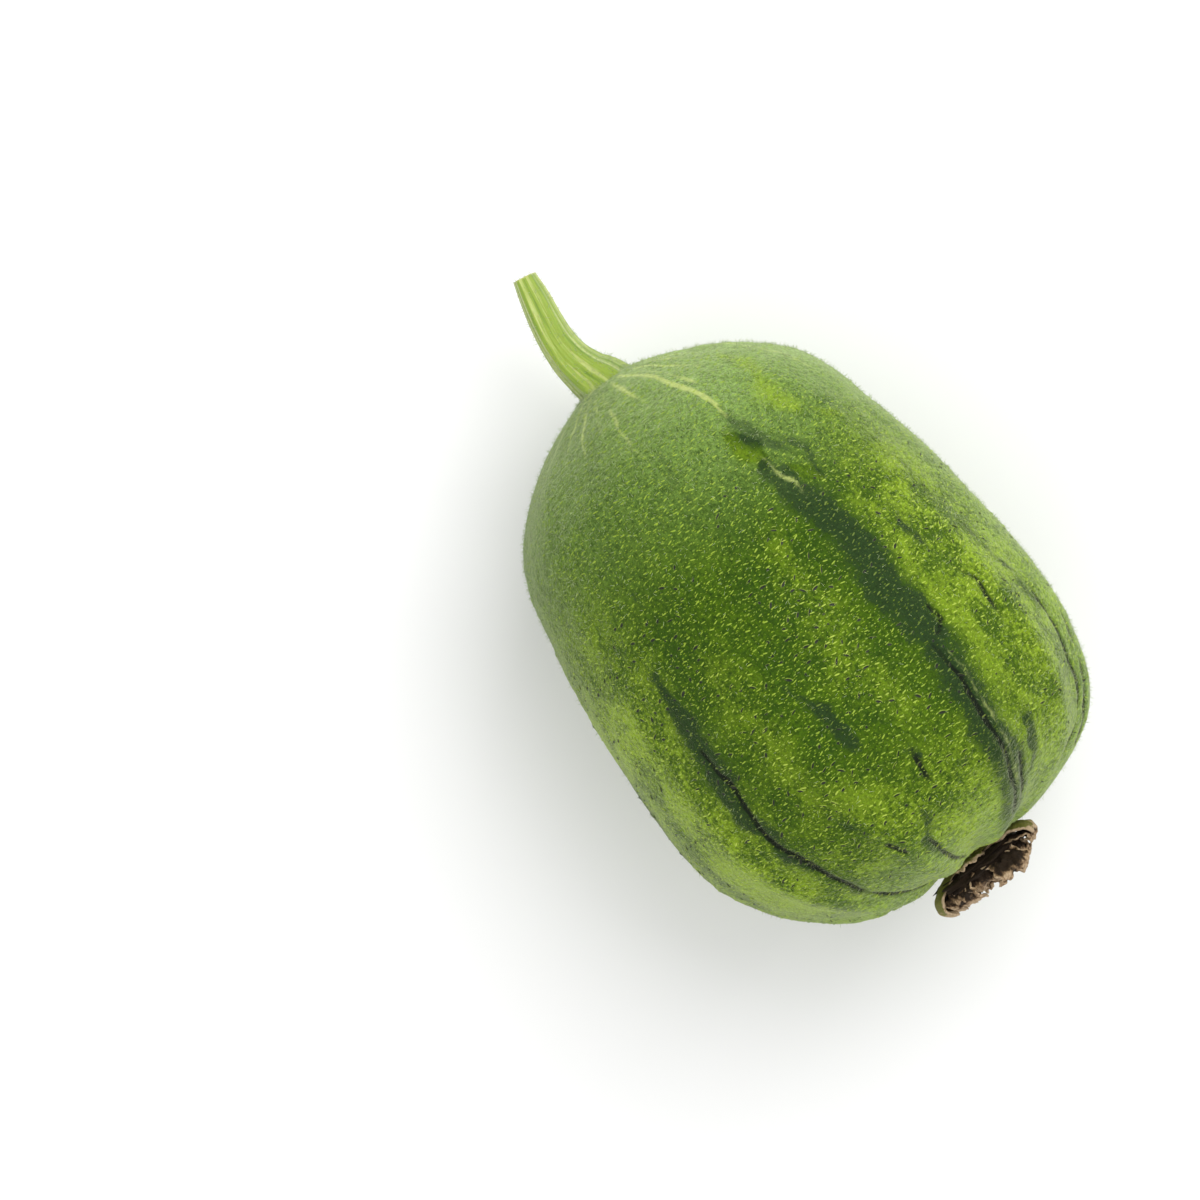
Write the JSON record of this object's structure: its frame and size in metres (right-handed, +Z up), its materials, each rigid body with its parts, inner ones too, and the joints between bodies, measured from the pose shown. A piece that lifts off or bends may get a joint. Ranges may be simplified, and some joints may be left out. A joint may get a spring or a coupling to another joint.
{
  "type": "sponge gourd",
  "caption": "Short barrel-shaped green gourd lying on its side, with a ridged cut stalk, shallow long furrows, low warts, and dried sepals and withered petals at the blossom end.",
  "frame": {"origin": "centre of the bounding box at the level of the surface that the gourd lies on", "axes": "+X from the stalk towards the blossom end, +Z up"},
  "size_m": [0.1754, 0.1042, 0.103],
  "materials": {
    "skin": "satin, finely hairy",
    "stalk": "satin",
    "sepals": "matte, dried",
    "petals": "matte, dried"
  },
  "bodies": {
    "root": {"fruit": "skin", "stem": "stalk", "calyx": "sepals", "withered_petals": "petals"}
  },
  "joints": []
}
